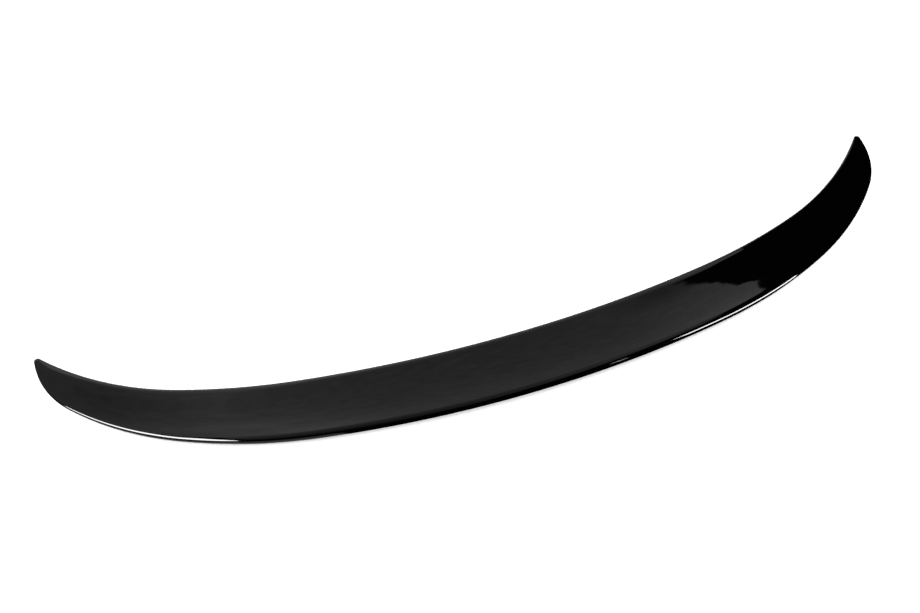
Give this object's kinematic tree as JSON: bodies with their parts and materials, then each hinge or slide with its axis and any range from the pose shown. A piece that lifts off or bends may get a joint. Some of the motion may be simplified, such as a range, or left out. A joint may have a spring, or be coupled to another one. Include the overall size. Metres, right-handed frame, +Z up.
{
  "type": "car rear spoiler",
  "caption": "Gloss black boot-lid lip spoiler: one swept, tapering moulding with a raised rear lip, pointed ends and a ribbed hollow underside for bonding to the lid.",
  "frame": {"origin": "middle of the width and depth of the part's box, on the surface it rests on", "axes": "+X along the width of the car, +Y towards the front of the car, +Z up off the resting surface"},
  "size_m": [1.2406, 0.2758, 0.03],
  "materials": {
    "gloss_black": "gloss"
  },
  "bodies": {
    "root": {"spoiler": "gloss_black"}
  },
  "joints": []
}
